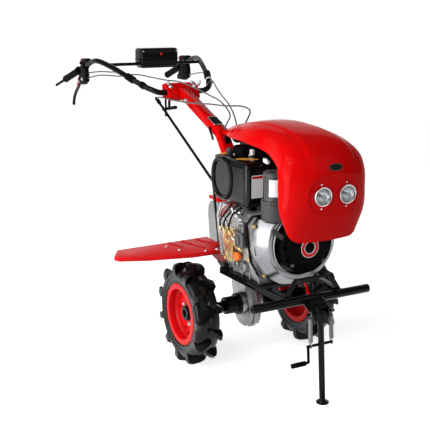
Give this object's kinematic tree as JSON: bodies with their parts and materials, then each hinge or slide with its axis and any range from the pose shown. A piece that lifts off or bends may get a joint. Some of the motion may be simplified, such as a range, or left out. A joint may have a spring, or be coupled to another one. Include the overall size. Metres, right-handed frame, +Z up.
{
  "type": "walk-behind diesel power tiller",
  "caption": "Red walk-behind diesel power tiller on two lugged drive wheels, with a bowed hood, twin headlights, wide fenders, cranked handlebars and a folding front stand.",
  "frame": {"origin": "on the ground at the centre of the part's outline, midway between the lamp fronts and the right grip rod", "axes": "X forward, Y to the operator's left, Z up"},
  "size_m": [2.1162, 1.1, 1.1676],
  "materials": {
    "cast_case": "cast",
    "black_paint": "gloss",
    "red_paint": "gloss",
    "red_hood": "gloss",
    "black_gloss": "gloss",
    "black_plastic": "matte",
    "rubber": "matte",
    "tyre": "matte",
    "dark_steel": "satin",
    "zinc": "satin",
    "orange_plastic": "matte",
    "red_plastic": "satin",
    "lamp": "clear"
  },
  "bodies": {
    "chassis": {"gearbox": "cast_case", "clutch_housing": "cast_case", "axle_flanges": "black_paint", "crankcase": "cast_case", "cylinder_head": "cast_case", "fan_shroud": "cast_case", "recoil_starter": "black_plastic", "fuel_tank": "black_gloss", "fuel_cap": "black_plastic", "air_cleaner": "black_plastic", "muffler": "dark_steel", "injection_pump": "dark_steel", "speed_control": "zinc", "oil_plug": "orange_plastic", "frame_rails": "black_paint", "front_bumper": "black_paint", "guard_hoop": "black_paint", "stand_bracket": "black_paint", "fenders": "red_paint", "column": "red_paint", "handle_head": "red_paint", "handlebar_right": "black_paint", "handlebar_left": "black_paint", "grips": "rubber", "crossbar": "black_paint", "control_box": "black_plastic", "lever_brackets": "black_plastic", "levers": "black_paint", "buttons": "red_plastic", "clamp_lever": "black_paint", "hood": "red_hood", "hood_stay": "black_paint", "headlights": "lamp", "shift_rod": "black_paint", "cables": "black_plastic"},
    "wheel_right": {"tyre_right": "tyre", "rim_right": "red_paint", "hub_right": "black_paint"},
    "wheel_left": {"tyre_left": "tyre", "rim_left": "red_paint", "hub_left": "black_paint"},
    "stand": {"stand_leg": "black_paint", "stand_pedal": "rubber", "stand_springs": "zinc"}
  },
  "joints": [
    {"name": "wheel_right_spin", "type": "hinge", "parent": "chassis", "child": "wheel_right", "pos_m": [0.48711, -0.2625, 0.2], "axis": [0, 1, 0], "continuous": true},
    {"name": "wheel_left_spin", "type": "hinge", "parent": "chassis", "child": "wheel_left", "pos_m": [0.48711, 0.2625, 0.2], "axis": [0, 1, 0], "continuous": true},
    {"name": "stand_fold", "type": "hinge", "parent": "chassis", "child": "stand", "pos_m": [0.99511, 0, 0.33], "axis": [0, 1, 0], "range_deg": [0, 85]}
  ]
}
